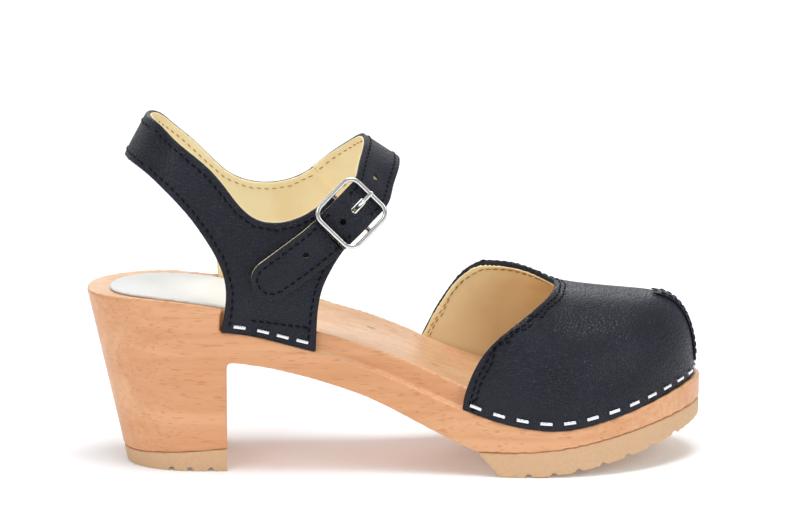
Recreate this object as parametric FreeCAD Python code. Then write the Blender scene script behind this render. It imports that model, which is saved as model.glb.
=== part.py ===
import FreeCAD, Part
import math
import os

# Wooden clog sandal with a block heel, for the right foot, size EU 38.
# X runs from heel to toe, Y towards the inner (medial) side of the foot, Z up.
# The origin is the middle of the footprint, on the floor. Millimetres.

V = FreeCAD.Vector
LATERAL, MEDIAL = -1, 1

# ---- driving dimensions: sole ------------------------------------------------
sole_length = 240.0
heel_seat_height = 69.6
heel_seat_half_width = 30.8
heel_tip_length = 38.5
heel_tip_half_width = 26.3
heel_rake = 15.5
ball_half_width_lateral = 43.6
ball_half_width_medial = 44.2
shank_half_width_lateral = 32.6
shank_half_width_medial = 27.2
forefoot_flare = 0.8

top_lift_back = 6.0
top_lift_front = 9.0
tread_bevel = 9.0
tread_groove_pitch = 9.7
tread_groove_width = 2.2
tread_groove_depth = 1.5
nail_diameter = 2.4
nail_length = 12.0

# ---- driving dimensions: uppers ----------------------------------------------
leather = 2.0
lining = 0.8
upper_inset = 0.2
toe_inset = 1.7
seat_gap = 0.15
vamp_trim = 0.4
rabbet_clearance = 0.6
rabbet_rear_lean = 8.0
pad_thickness = 1.2
pad_border_back = 9.0
pad_border_side = 5.0
pad_length = 69.0

throat_x_lateral = 24.0
throat_x_medial = 8.0
throat_x_crown = 62.0
crown_y = 5.0
crown_parting = 0.06
crown_end_x = 98.0
crown_straight_x = 75.0

strap_width = 16.0
strap_leather = 1.4
strap_lining = 0.8
strap_hole = 2.3
body_gap = 0.35

staple_crown = 4.7
staple_wire = 1.2
staple_leg = 4.0
staple_thickness = 0.7
staple_gap = 0.03
staple_height = 3.0
vamp_staple_count = 13
toe_strip_width = 9.0
toe_strip_thickness = 0.7
toe_strip_gap = 0.15
toe_strip_top = 0.9

# ---- driving dimensions: buckle ----------------------------------------------
buckle_bar = 2.5
buckle_thickness = 2.0
buckle_opening = strap_width + 1.5
buckle_corner = 4.0
buckle_bevel = 0.5
centre_bar_radius = 1.0
centre_bar_drop = 2.8
pivot_clearance = 0.15
loop_leather = 1.0
prong_radius = 0.8
drawn_buckle_centre = V(-18.2, -34.1, 102.5)
under_bar_room = 0.9

# The lines of the shoe are drawn at these sizes; a change of the sole's length, heel
# height or heel length moves or stretches them.
drawn_back_x, drawn_breast_x, drawn_toe_x = -120.0, -66.0, 120.0
drawn_seat_height = 69.6
slope_from, slope_to = -40.0, 30.0
beyond_toe = 6.0

# ---- small helpers -----------------------------------------------------------


def save(node, shape):
    """Write one sub-part as its own STEP file."""
    shape = shape.removeSplitter() if shape.ShapeType == "Compound" else shape
    shape.exportStep(os.path.join("parts", node + ".step"))
    print(f"{node:26s} solids {len(shape.Solids):3d}  volume {shape.Volume:10.1f} "
          f" valid {shape.isValid()}")


def spline(points, closed=False):
    curve = Part.BSplineCurve()
    curve.interpolate(points, PeriodicFlag=closed)
    return curve


def in_side_view(pairs):
    """Points of the XZ plane from (x, z) pairs."""
    return [V(x, 0, z) for x, z in pairs]


def follow(pairs):
    """A smooth function z(x) through (x, z) pairs, straight beyond both ends."""
    curve = spline(in_side_view(pairs))
    samples = [curve.value(curve.FirstParameter + (curve.LastParameter - curve.FirstParameter)
                           * i / 200) for i in range(201)]

    def value(x):
        low, high = samples[0], samples[1]
        for low, high in zip(samples, samples[1:]):
            if x <= high.x:
                break
        return low.z + (high.z - low.z) * (x - low.x) / (high.x - low.x)

    return value


def prism(edges, y_from, y_to):
    """Extrude a closed side-view outline along Y."""
    face = Part.Face(Part.Wire(Part.__sortEdges__(edges)))
    face.translate(V(0, y_from, 0))
    return face.extrude(V(0, y_to - y_from, 0))


def side_view_loop(*runs):
    """Close a side-view outline from runs: two points make a line, more a curve."""
    edges = []
    for run in runs:
        points = in_side_view(run)
        curve = Part.LineSegment(*points) if len(points) == 2 else spline(points)
        edges.append(curve.toShape())
    return edges


def solid_from(faces):
    shell = Part.Shell(faces)
    shell.sewShape()
    solid = Part.Solid(shell)
    if solid.Volume < 0:
        solid.reverse()
    return solid


def thick_patch(outer, inner):
    """A sheet solid between two grids of points of the same size."""
    skins = []
    for grid in (outer, inner):
        surface = Part.BSplineSurface()
        surface.interpolate(grid)
        skins.append(surface)
    a, b = skins
    last_u = [s.bounds()[1] for s in skins]
    last_v = [s.bounds()[3] for s in skins]
    rims = [
        (a.uIso(0), b.uIso(0)),
        (a.uIso(last_u[0]), b.uIso(last_u[1])),
        (a.vIso(0), b.vIso(0)),
        (a.vIso(last_v[0]), b.vIso(last_v[1])),
    ]
    walls = [Part.makeRuledSurface(p.toShape(), q.toShape()) for p, q in rims]
    return solid_from([a.toShape(), b.toShape()] + walls)


def smooth_step(t):
    t = min(1.0, max(0.0, t))
    return t * t * (3 - 2 * t)


# ---- sole outline ------------------------------------------------------------
# Each corner point of the outline is given at the floor and at seat height, so
# that the wall between them is one ruled surface: raked at the heel, upright in front.

toe_x = sole_length / 2
back_x = -sole_length / 2
toe_apex_y = crown_y
tip_back_x = back_x + heel_rake
breast_x = tip_back_x + heel_tip_length
extra_height = heel_seat_height - drawn_seat_height
ankle_shift = V(back_x - drawn_back_x, 0, extra_height)


def station(x):
    """Where a drawn station falls: the heel keeps its length, the rest stretches."""
    if x <= drawn_breast_x:
        return breast_x + x - drawn_breast_x
    share = (x - drawn_breast_x) / (drawn_toe_x - drawn_breast_x)
    return breast_x + share * (toe_x - breast_x)


def raised(x, z):
    """A drawn height at a drawn station, lifted with the heel up to the slope's foot."""
    return z + extra_height * (1 - smooth_step((x - slope_from) / (slope_to - slope_from)))


def drawn(pairs):
    """A drawn side-view line, fitted to this sole."""
    return [(station(x), raised(x, z)) for x, z in pairs]


def moved_with_heel(pairs):
    """A drawn line of the ankle leather, which moves with the heel unchanged."""
    return [(x + ankle_shift.x, z + ankle_shift.z) for x, z in pairs]


def outline_points(z):
    seat = heel_seat_half_width
    tip = heel_tip_half_width
    lat, med = ball_half_width_lateral, ball_half_width_medial
    shank_l, shank_m = shank_half_width_lateral, shank_half_width_medial
    flare = forefoot_flare
    shank_x, waist_x = station(-31), station(0)
    pairs = [
        ((tip_back_x, 0), (back_x, 0)),
        ((tip_back_x + 7, -0.67 * tip), (back_x + 7.5, -0.64 * seat)),
        ((tip_back_x + 20.5, -0.95 * tip), (back_x + 24, -0.93 * seat)),
        ((breast_x, -tip), (breast_x - 2, -seat)),
        ((shank_x, -shank_l + 2), (shank_x, -shank_l + 1)),
        ((waist_x, -shank_l - 0.6), (waist_x, -shank_l - 1)),
        ((station(27), -0.9 * lat + flare), (station(27), -0.9 * lat)),
        ((station(58), -lat + flare), (station(58), -lat)),
        ((toe_x - 35, -0.85 * lat + flare), (toe_x - 34.5, -0.85 * lat)),
        ((toe_x - 13, -0.46 * lat), (toe_x - 12, -0.47 * lat)),
        ((toe_x - 1.2, toe_apex_y), (toe_x, toe_apex_y)),
        ((toe_x - 9, 0.59 * med), (toe_x - 8, 0.6 * med)),
        ((toe_x - 30, 0.92 * med - flare), (toe_x - 29, 0.92 * med)),
        ((station(62), med - flare), (station(62), med)),
        ((station(30), 0.77 * med - flare), (station(30), 0.77 * med)),
        ((waist_x, shank_m - 0.6), (waist_x, shank_m - 0.3)),
        ((shank_x, shank_m - 0.4), (shank_x, shank_m + 0.4)),
        ((breast_x, tip), (breast_x - 2, seat - 0.5)),
        ((tip_back_x + 20.5, 0.95 * tip), (back_x + 24, 0.93 * seat)),
        ((tip_back_x + 7, 0.67 * tip), (back_x + 7.5, 0.64 * seat)),
    ]
    rise = z / heel_seat_height
    return [V(a[0] + (b[0] - a[0]) * rise, a[1] + (b[1] - a[1]) * rise, z) for a, b in pairs]


def toe_share(x):
    """0 along the sides, 1 at the toe cap."""
    return smooth_step((x - station(80)) / (station(116) - station(80)))


def outline(z, inset=0.0, extra_at_toe=0.0):
    """The sole's closed outline at height z, drawn in by an inset."""
    points = outline_points(z)
    drawn = []
    for before, point, after in zip(points[-1:] + points, points, points[1:] + points[:1]):
        along = after - before
        inward = V(-along.y, along.x, 0).normalize()
        drawn.append(point + inward * (inset + extra_at_toe * toe_share(point.x)))
    return spline(drawn, closed=True)


def walls(z_low, z_high, inset=0.0, extra_at_toe=0.0):
    wires = [Part.Wire(outline(z, inset, extra_at_toe).toShape()) for z in (z_low, z_high)]
    return Part.makeLoft(wires, True, True)


def sides(z, inset, extra_at_toe=0.0, count=400):
    """Both sides of the outline as point lists from heel to toe apex."""
    curve = outline(z, inset, extra_at_toe)
    first, last = curve.FirstParameter, curve.LastParameter
    ring = [curve.value(first + (last - first) * i / count) for i in range(count)]
    apex = max(range(count), key=lambda i: ring[i].x)
    return {LATERAL: ring[: apex + 1], MEDIAL: [ring[0]] + ring[: apex - 1 : -1]}


def side_y(side_points, x):
    for p, q in zip(side_points, side_points[1:]):
        if p.x <= x <= q.x:
            return p.y + (q.y - p.y) * (x - p.x) / (q.x - p.x)
    return side_points[-1].y


def run_to_apex(side_points, start_x, share):
    """The point a share of the way from start_x to the toe apex, along the outline."""
    points = [V(start_x, side_y(side_points, start_x), side_points[0].z)]
    points += [p for p in side_points if p.x > start_x]
    lengths = [0.0]
    for p, q in zip(points, points[1:]):
        lengths.append(lengths[-1] + (q - p).Length)
    goal = share * lengths[-1]
    for i in range(1, len(points)):
        if lengths[i] >= goal:
            t = (goal - lengths[i - 1]) / (lengths[i] - lengths[i - 1])
            return points[i - 1] + (points[i] - points[i - 1]) * t
    return points[-1]


# ---- sole heights ------------------------------------------------------------

ledge_line = drawn([
    (-80, 57.5), (-69, 55.6), (-55, 53.6), (-43, 50.6), (-31, 47.6), (-21, 44.6), (-11, 41.0),
    (0, 36.6), (12, 31.2), (24, 26.3), (37, 21.8), (51, 19.0), (60, 18.3), (75, 20.2),
    (89, 23.6), (100, 26.6), (110, 29.2), (drawn_toe_x + beyond_toe, 32.6)])
arch_line = drawn([
    (drawn_breast_x, 43.3), (-55, 42.2), (-42, 39.6), (-29, 36.0), (-9, 28.6), (8.5, 19.6),
    (19.6, 14.2), (29.5, 9.7)])
tread_line = drawn([
    (29.5, 9.7), (40, 9.6), (52, 10.1), (67, 11.7), (82, 14.4), (96, 17.3), (107, 19.6),
    (drawn_toe_x + beyond_toe, 22.6)])
floor_line = drawn([
    (50, 0), (60, 0.7), (71, 2.3), (82, 4.6), (93, 7.3), (104, 10.3),
    (drawn_toe_x + beyond_toe, 17.6)])
tread_line[0] = arch_line[-1]
beyond_x = ledge_line[-1][0]
footbed_rows = [  # x, half width there, height at the lateral edge, middle and medial edge
    (-135, 20, 69.7, 69.2, 69.7),
    (-118, 25, 69.6, 68.2, 69.6),
    (-95, 30, 68.8, 65.6, 69.0),
    (-67, 30, 64.8, 61.4, 66.2),
    (-31, 30, 55.8, 53.2, 60.2),
    (0, 30, 45.4, 43.8, 50.2),
    (27, 38, 34.4, 32.2, 37.5),
    (55, 43, 27.2, 25.0, 28.6),
    (80, 42, 28.2, 26.2, 29.0),
    (105, 30, 34.6, 33.2, 35.0),
    (132, 30, 43.4, 42.4, 43.8),
]
ledge_z = follow(ledge_line)


def footbed_surface(lift):
    grid = []
    for drawn_x, half, *heights in footbed_rows:
        x = station(drawn_x)
        lateral_z, middle_z, medial_z = (raised(drawn_x, z) for z in heights)
        tilt = (medial_z - lateral_z) / 2
        dish = (medial_z + lateral_z) / 2 - middle_z
        row = []
        for y in (-55, -30, 0, 30, 55):
            t = y / half
            row.append(V(x, y, middle_z + tilt * t + dish * t * t + lift))
        grid.append(row)
    surface = Part.BSplineSurface()
    surface.interpolate(grid)
    return surface.toShape()


# ---- wooden sole, rubber and pad ---------------------------------------------

above = 120.0
sole_side = side_view_loop(
    [(back_x - 10, top_lift_back), (tip_back_x, top_lift_back)],
    [(tip_back_x, top_lift_back), (breast_x, top_lift_front)],
    [(breast_x, top_lift_front), (breast_x, arch_line[0][1])],
    arch_line,
    tread_line,
    [tread_line[-1], (beyond_x, above)],
    [(beyond_x, above), (back_x - 10, above)],
    [(back_x - 10, above), (back_x - 10, top_lift_back)],
)
rabbet_depth = upper_inset + leather + lining + rabbet_clearance
body = walls(-6, 90).common(prism(sole_side, -70, 70))
body = body.cut(footbed_surface(0).extrude(V(0, 0, above)))
rabbet_rear = (ledge_line[1][0] + rabbet_rear_lean, above)
rabbet_band = prism(side_view_loop(
    ledge_line[1:],
    [ledge_line[-1], (beyond_x, above)],
    [(beyond_x, above), rabbet_rear],
    [rabbet_rear, ledge_line[1]],
), -70, 70)
rabbet = rabbet_band.cut(walls(-6, 120, rabbet_depth, toe_inset))
sole = body.cut(rabbet)
nail_places = [(tip_back_x + 9, 0), (breast_x - 8, -15), (breast_x - 8, 15),
               (tip_back_x + 20, -17), (tip_back_x + 20, 17)]
nails = [Part.makeCylinder(nail_diameter / 2, nail_length, V(x, y, 3.0)) for x, y in nail_places]
nail_set = Part.makeCompound(nails)
sole = sole.cut(nail_set)
save_list = {"wooden_sole": sole}

lift_band = prism(side_view_loop(
    [(back_x - 10, 0), (breast_x, 0)],
    [(breast_x, 0), (breast_x, top_lift_front)],
    [(breast_x, top_lift_front), (tip_back_x, top_lift_back)],
    [(tip_back_x, top_lift_back), (back_x - 10, top_lift_back)],
    [(back_x - 10, top_lift_back), (back_x - 10, 0)],
), -70, 70)
lift = walls(-6, 90).common(lift_band)
for x in (tip_back_x + 9, tip_back_x + 16, tip_back_x + 23, tip_back_x + 31):
    for side in (LATERAL, MEDIAL):
        notch = Part.makeBox(tread_groove_width, 12, tread_groove_depth)
        notch.translate(V(x, side * heel_tip_half_width - 6, 0))
        lift = lift.cut(notch)
save_list["heel_top_lift"] = lift.cut(nail_set)
save_list["heel_nails"] = nail_set

rear_corner = (tread_line[0][0] + tread_bevel, 0)
tread_band = prism(side_view_loop(
    [tread_line[0], rear_corner],
    [rear_corner, floor_line[0]],
    floor_line,
    [floor_line[-1], tread_line[-1]],
    tread_line,
), -70, 70)
tread = walls(-6, 90).common(tread_band)
floor_z = follow(floor_line)
groove_x = rear_corner[0] + tread_groove_pitch
while groove_x < toe_x - 8:
    ground = floor_z(groove_x) if groove_x > floor_line[0][0] else 0.0
    groove = Part.makeBox(tread_groove_width, 120, 2 * tread_groove_depth)
    groove.translate(V(groove_x, -60, ground - tread_groove_depth))
    tread = tread.cut(groove)
    groove_x += tread_groove_pitch
save_list["forefoot_tread"] = tread

pad_outline = Part.makeLoft([Part.Wire(outline(z, pad_border_side).toShape())
                             for z in (40, 90)], True, True)
pad_front_x = back_x + pad_border_back + pad_length
pad_top = footbed_surface(pad_thickness).extrude(V(0, 0, -above))
pad_front = Part.makeCylinder(heel_seat_half_width, 80,
                              V(pad_front_x - heel_seat_half_width, 0, 30))
pad_rear = Part.makeBox(pad_front_x - heel_seat_half_width - back_x, 80, 80, V(back_x, -40, 30))
pad_back = pad_outline.copy()
pad_back.translate(V(pad_border_back - pad_border_side, 0, 0))
pad = pad_outline.common(pad_back).common(pad_front.fuse(pad_rear)).common(pad_top)
save_list["heel_pad"] = pad.cut(footbed_surface(0).extrude(V(0, 0, -above)))

# ---- vamp --------------------------------------------------------------------
# Every point of the toe box lies on an arch that springs from the sole's edge and
# ends at the crown line. The throat is where the arches start. The lower edge is drawn a
# little too long and trimmed to the ledge that it stands on.

crown_z = follow([(station(x), z) for x, z in (
    (-5, 128), (8, 113), (20, 104), (30, 95), (38, 85), (45, 77.6), (54, 71.8), (62, 67.9),
    (72, 65.8), (84, 64.4), (98, 62.9), (110, 61.2))])
crown_straight, crown_end = station(crown_straight_x), station(crown_end_x)


def crown_x(x):
    """Where on the crown line the arch from an edge point ends."""
    if x <= crown_straight:
        return x
    reach = toe_x - crown_straight
    t = (x - crown_straight) / reach
    return crown_straight + reach * t - (toe_x - crown_end) * t * t


def throat_x(side, turn):
    """Start of the vamp at a turn of 0 (sole edge) to 1 (crown)."""
    if side == LATERAL:
        share = math.sin(turn * math.pi / 2) ** 1.3
        return station(throat_x_lateral + (throat_x_crown - throat_x_lateral) * share)
    return station(throat_x_medial + (throat_x_crown - throat_x_medial) * turn)


def arch_point(base, turn, depth):
    """A point on the arch from a base point, a depth below the outer face."""
    power = 2 / (2.3 + 0.3 * toe_share(base.x))
    rise = math.sin(turn * math.pi / 2) ** power
    reach = math.cos(turn * math.pi / 2) ** power
    cx = crown_x(base.x)
    low = ledge_z(base.x) - vamp_trim
    return V(cx + (base.x - cx) * reach,
             crown_y + (base.y - crown_y) * reach,
             low + (crown_z(cx) - depth - low) * rise)


def vamp_grid(side, depth, turns, shares, start=throat_x):
    edge = sides(25, upper_inset + depth, toe_inset)[side]
    rows = []
    for turn in turns:
        rows.append([arch_point(run_to_apex(edge, start(side, turn), share), turn, depth)
                     for share in shares])
    return rows


def vamp_layer(depth, thickness):
    turns = [0, 0.06, 0.14, 0.24, 0.36, 0.48, 0.6, 0.72, 0.84, 0.93, 1]
    shares = [0, 0.1, 0.22, 0.34, 0.46, 0.57, 0.67, 0.76, 0.84, 0.92, 1]
    halves = []
    for side in (LATERAL, MEDIAL):
        half = thick_patch(vamp_grid(side, depth, turns, shares),
                           vamp_grid(side, depth + thickness, turns, shares))
        half.translate(V(0, side * crown_parting / 2, 0))
        halves.append(max(half.cut(sole).Solids, key=lambda piece: piece.Volume))
    return Part.makeCompound(halves)


save_list["vamp_leather"] = vamp_layer(0, leather)
save_list["vamp_lining"] = vamp_layer(leather, lining)


# ---- ankle leather -----------------------------------------------------------
# One wrap of leather: outer quarter, round the heel, inner quarter. Low down it
# lies on the sole's edge; at the heel it leans forward and closes in a half oval.

collar_rows = [  # height, half width outside and inside, back of the loop, its depth
    (40, 31.2, 28.6, -116, 46),
    (55, 31.2, 28.6, -115, 44),
    (70, 31.4, 28.9, -114, 40),
    (85, 30.9, 28.7, -111.5, 34),
    (100, 29.2, 27.8, -109.5, 29),
    (112, 27.2, 26.4, -107.5, 26),
    (124, 25.0, 24.6, -102.6, 23.5),
    (138, 23.0, 22.8, -95.3, 21.5),
    (146, 22.0, 21.8, -91, 20.5),
]
collar_front_x = -4.0 + ankle_shift.x
wood_follow_top, wood_follow_end = 57.0 + extra_height, 84.0 + extra_height


def collar_grid(depth):
    rows = []
    for drawn_z, lateral, medial, rear, arc in collar_rows:
        z = drawn_z + extra_height
        edge = sides(min(z, heel_seat_height), upper_inset)
        wood_share = 1 - smooth_step((z - wood_follow_top) / (wood_follow_end - wood_follow_top))
        start = rear + ankle_shift.x + arc
        half = {LATERAL: lateral - depth, MEDIAL: medial - depth}
        row = []
        for side, places in ((LATERAL, (0, 0.2, 0.4, 0.6, 0.8)), (MEDIAL, (0.8, 0.6, 0.4, 0.2, 0))):
            flank = []
            for share in places:
                x = collar_front_x + (start - collar_front_x) * share
                wood_y = side_y(edge[side], max(x, breast_x + 2)) - side * depth
                y = wood_share * wood_y + (1 - wood_share) * side * half[side]
                flank.append(V(x, y, z))
            if side == MEDIAL:
                for degrees in range(-75, 90, 15):
                    angle = math.radians(degrees)
                    width = half[LATERAL] if degrees < 0 else half[MEDIAL]
                    row.append(V(start - (arc - depth) * math.cos(angle),
                                 width * math.sin(angle), z))
            row += flank
        rows.append(row)
    return rows


lateral_top_edge = moved_with_heel([(-95.4, 135.8), (-91, 134.2), (-86, 129.9), (-79, 124.2), (-72, 118.2),
                    (-66, 111.2), (-60, 103.6), (-54, 99.2), (-47, 98.0), (-40, 99.2),
                    (-32, 103.2), (-25.5, 108.6)])
lateral_front_edge = moved_with_heel([(-13.2, 96.4), (-21, 87.4), (-26, 79.6), (-29.4, 72), (-31.2, 62), (-32, 46)])
medial_top_edge = moved_with_heel([(-95.4, 135.8), (-91, 133.6), (-86, 128.6), (-79, 122.2), (-72, 115.2),
                   (-64, 107.8), (-56, 104.4), (-48, 103.7), (-41, 104.8), (-31, 109.9)])
medial_front_edge = moved_with_heel([(-22, 96.8), (-27.5, 90), (-31.5, 80), (-33.2, 68), (-34, 46)])
lateral_rear_edge = moved_with_heel([
    (-68.4, 54), (-66.6, 65), (-66.2, 72), (-69, 83), (-74, 92), (-81, 101.6), (-89, 110),
    (-97, 116.6), (-103.8, 119.6)])
medial_rear_edge = moved_with_heel([
    (-68.4, 54), (-68.6, 64), (-69, 71), (-71.4, 82), (-75.8, 92), (-82, 101.4), (-89.3, 109.8),
    (-97, 116.6), (-103.8, 119.6)])


def quarter_window(top, front, rear, y_from, y_to):
    """Side-view window that keeps one quarter of the collar."""
    low, far = front[-1][1], back_x - 12
    floor_start = (rear[0][0], low)
    return prism(side_view_loop(
        top,
        [top[-1], front[0]],
        front,
        [front[-1], floor_start],
        [floor_start, rear[0]],
        rear,
        [rear[-1], (far, rear[-1][1])],
        [(far, rear[-1][1]), (far, top[0][1])],
        [(far, top[0][1]), top[0]],
    ), y_from, y_to)


outer_window = quarter_window(lateral_top_edge, lateral_front_edge, lateral_rear_edge, -60, 0)
inner_window = quarter_window(medial_top_edge, medial_front_edge, medial_rear_edge, 0, 60)
ankle_window = outer_window.fuse(inner_window)
below_ledge = prism(side_view_loop(
    ledge_line,
    [ledge_line[-1], (beyond_x, -10)],
    [(beyond_x, -10), (ledge_line[0][0], -10)],
    [(ledge_line[0][0], -10), ledge_line[0]],
), -70, 70)
below_ledge.translate(V(0, 0, seat_gap))


def ankle_layer(depth, thickness):
    sheet = thick_patch(collar_grid(depth), collar_grid(depth + thickness))
    return sheet.common(ankle_window).cut(below_ledge)


save_list["ankle_leather"] = ankle_layer(0, leather).cut(sole)
save_list["ankle_lining"] = ankle_layer(leather, lining).cut(sole)

# ---- buckle ------------------------------------------------------------------
# The buckle's own frame: u down the strap, w across it, n out of the foot.

buckle_centre = drawn_buckle_centre + ankle_shift
along = V(-0.70, -0.13, -0.70).normalize()
across = V(0.70, -0.11, -0.70)
outward = along.cross(across).normalize()
across = outward.cross(along).normalize()


def at_buckle(u, w, n):
    return buckle_centre + along * u + across * w + outward * n


buckle_place = FreeCAD.Matrix(
    along.x, across.x, outward.x, buckle_centre.x,
    along.y, across.y, outward.y, buckle_centre.y,
    along.z, across.z, outward.z, buckle_centre.z,
    0, 0, 0, 1)


def placed(shape):
    copy = shape.copy()
    copy.transformShape(buckle_place)
    return copy


def rounded_plate(size, corner, thickness):
    plate = Part.makeBox(size, size, thickness, V(-size / 2, -size / 2, -thickness / 2))
    upright = [e for e in plate.Edges if abs(e.tangentAt(e.FirstParameter).z) > 0.9]
    return plate.makeFillet(corner, upright)


buckle_outer = buckle_opening + 2 * buckle_bar
ring = rounded_plate(buckle_outer, buckle_corner, buckle_thickness).cut(
    rounded_plate(buckle_opening, buckle_corner - buckle_bar / 2, 2 * buckle_thickness))
rim = [e for e in ring.Edges if abs(e.BoundBox.ZMax - e.BoundBox.ZMin) < 1e-6]
ring = ring.makeChamfer(buckle_bevel, rim)
rail = buckle_opening / 2 + buckle_bar / 2
centre_bar = Part.makeCylinder(centre_bar_radius, 2 * rail, V(0, -rail, -centre_bar_drop),
                               V(0, 1, 0))
frame = ring.fuse(centre_bar)
for side in (LATERAL, MEDIAL):
    lug = Part.makeBox(2 * centre_bar_radius, buckle_bar - 2 * buckle_bevel, centre_bar_drop,
                       V(-centre_bar_radius, side * rail - buckle_bar / 2 + buckle_bevel,
                         -centre_bar_drop))
    frame = frame.fuse(lug)
save_list["buckle_frame"] = placed(frame)

loop_inner = centre_bar_radius + pivot_clearance
loop_outer = loop_inner + loop_leather
loop_width = strap_width - 1.0
prong_slot = 2 * prong_radius + 1.2
loop = Part.makeCylinder(loop_outer, loop_width, V(0, -loop_width / 2, -centre_bar_drop),
                         V(0, 1, 0))
tongue_length = 7.5
tongue_floor = -centre_bar_drop - loop_outer
tongue = Part.makeBox(tongue_length, loop_width, loop_leather,
                      V(0, -loop_width / 2, tongue_floor))
loop = loop.fuse(tongue)
loop = loop.cut(Part.makeCylinder(loop_inner, loop_width, V(0, -loop_width / 2, -centre_bar_drop),
                                  V(0, 1, 0)))
loop = loop.cut(Part.makeBox(2 * loop_outer + 0.6, prong_slot, 3 * loop_outer,
                             V(-loop_outer - 0.3, -prong_slot / 2,
                               -centre_bar_drop - 1.5 * loop_outer)))
save_list["buckle_loop"] = placed(loop)

prong_rest = buckle_thickness / 2 + prong_radius + 0.1
eye = Part.makeCylinder(loop_outer, 2 * prong_radius, V(0, -prong_radius, -centre_bar_drop),
                        V(0, 1, 0))
front_bar_u = -(buckle_opening + buckle_bar) / 2
prong_line = [V(-1.2, 0, -centre_bar_drop + 1.0), V(-5.6, 0, prong_rest),
              V(front_bar_u - buckle_bar / 2 - 0.2, 0, prong_rest)]
prong = eye
for start, end in zip(prong_line, prong_line[1:]):
    run = end - start
    bar = Part.makeBox(run.Length, 2 * prong_radius, 2 * prong_radius,
                       V(0, -prong_radius, -prong_radius))
    bar.rotate(V(0, 0, 0), V(0, 1, 0), -math.degrees(math.atan2(run.z, run.x)))
    bar.translate(start)
    prong = prong.fuse(bar)
for bend in prong_line[1:]:
    prong = prong.fuse(Part.makeCylinder(prong_radius, 2 * prong_radius,
                                         bend - V(0, prong_radius, 0), V(0, 1, 0)))
prong = prong.cut(Part.makeCylinder(loop_inner, 4 * prong_radius,
                                    V(0, -2 * prong_radius, -centre_bar_drop), V(0, 1, 0)))
save_list["buckle_prong"] = placed(prong)

# ---- instep strap ------------------------------------------------------------
# The strap leaves the inner quarter, crosses the instep, dips under the front bar,
# rides over the centre bar and goes under the rear bar; its loose tail lies behind.

strap_full = strap_leather + strap_lining
dip = -buckle_thickness / 2 - under_bar_room - strap_full / 2
hump = -centre_bar_drop + loop_outer + 0.25 + strap_full / 2
bar_u = (buckle_opening + buckle_bar) / 2
over_instep = [V(-25.8, 26.2, 103.9), V(-20, 25.6, 108.6), V(-13.2, 21.0, 114.2),
               V(-8, 12.5, 119.2), V(-5.8, 3, 121.2), V(-5.8, -6, 120.0),
               V(-7.2, -14.5, 117.2), V(-8.9, -22, 113.6)]
half_way = (dip + hump) / 2 + 0.2
past_bar = bar_u + buckle_bar / 2 + 0.4
strap_path = [point + ankle_shift for point in over_instep] + [
    at_buckle(-bar_u, 0, dip), at_buckle(-bar_u / 2, 0, half_way), at_buckle(0, 0, hump),
    at_buckle(bar_u / 2, 0, half_way), at_buckle(bar_u, 0, dip),
    at_buckle(past_bar, 0, dip - 0.1)]
strap_across = [V(0.60, 0, -0.80), V(0.62, 0, -0.78), V(0.70, 0.05, -0.71), V(0.78, 0.03, -0.62),
                V(0.83, 0, -0.55), V(0.84, 0, -0.54), V(0.82, -0.02, -0.57), V(0.78, 0, -0.62)]
strap_across += [across] * (len(strap_path) - len(strap_across))
tail_path = [strap_path[-1] + along * body_gap] + [point + ankle_shift for point in (
    V(-30.2, -32.9, 90.4), V(-35.6, -32.8, 86.1), V(-42, -33.0, 81.4), V(-48.6, -33.2, 76.8))]
tail_across = [across, V(0.66, 0, -0.75), V(0.62, 0, -0.78), V(0.60, 0, -0.80), V(0.59, 0, -0.81)]


def band(path, widths, depth, thickness, half=strap_width / 2):
    """A strip that follows a path; depth is measured inward from its outer face."""
    spine = spline(path)
    grids = [[], []]
    for point, side in zip(path, widths):
        forward = spine.tangent(spine.parameter(point))[0]
        normal = forward.cross(side).normalize()
        flat = normal.cross(forward).normalize()
        for grid, offset in zip(grids, (depth, depth + thickness)):
            lift = strap_full / 2 - offset
            grid.append([point + normal * lift + flat * (half * w) for w in (-1, -0.5, 0.5, 1)])
    return thick_patch(*grids)


def hole_at(point, normal):
    return Part.makeCylinder(strap_hole / 2, 8, point - normal * 4, normal)


prong_hole = placed(Part.makeBox(6.4, 2 * prong_radius + 0.8, 9,
                                 V(-7.0, -prong_radius - 0.4, -5)))
front_hole = hole_at(strap_path[len(over_instep) - 1], V(0.35, -0.72, 0.6).normalize())
rear_hole = hole_at(at_buckle(4.6, 0, 0), outward)
strap = band(strap_path, strap_across, 0, strap_leather)
strap_back = band(strap_path, strap_across, strap_leather, strap_lining)
for hole in (front_hole, prong_hole, rear_hole):
    strap = strap.cut(hole)
    strap_back = strap_back.cut(hole)
save_list["instep_strap"] = strap
save_list["instep_strap_lining"] = strap_back

tail_end = tail_path[-1]
tail_forward = (tail_path[-1] - tail_path[-2]).normalize()
tail_normal = tail_forward.cross(tail_across[-1]).normalize()
tail_reach = tail_path[:-1] + [tail_end + tail_forward * (strap_width / 2)]


def tail_layer(depth, thickness):
    strip = band(tail_reach, tail_across, depth, thickness)
    tip = Part.makeCylinder(strap_width / 2, 12, tail_end - tail_normal * 6, tail_normal)
    middle = (tail_path[0] + tail_end) * 0.5
    reach = (tail_end - tail_path[0]).Length
    keep = Part.makeBox(reach, 3 * strap_width, 30)
    keep.translate(V(-reach, -1.5 * strap_width, -15))
    flat = tail_normal.cross(tail_forward).normalize()
    turn = FreeCAD.Matrix(tail_forward.x, flat.x, tail_normal.x, tail_end.x,
                          tail_forward.y, flat.y, tail_normal.y, tail_end.y,
                          tail_forward.z, flat.z, tail_normal.z, tail_end.z, 0, 0, 0, 1)
    keep.transformShape(turn)
    shape = strip.common(keep.fuse(tip))
    return shape.cut(hole_at(tail_path[2], tail_normal))


save_list["strap_tail"] = tail_layer(0, strap_leather)
save_list["strap_tail_lining"] = tail_layer(strap_leather, strap_lining)


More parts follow.
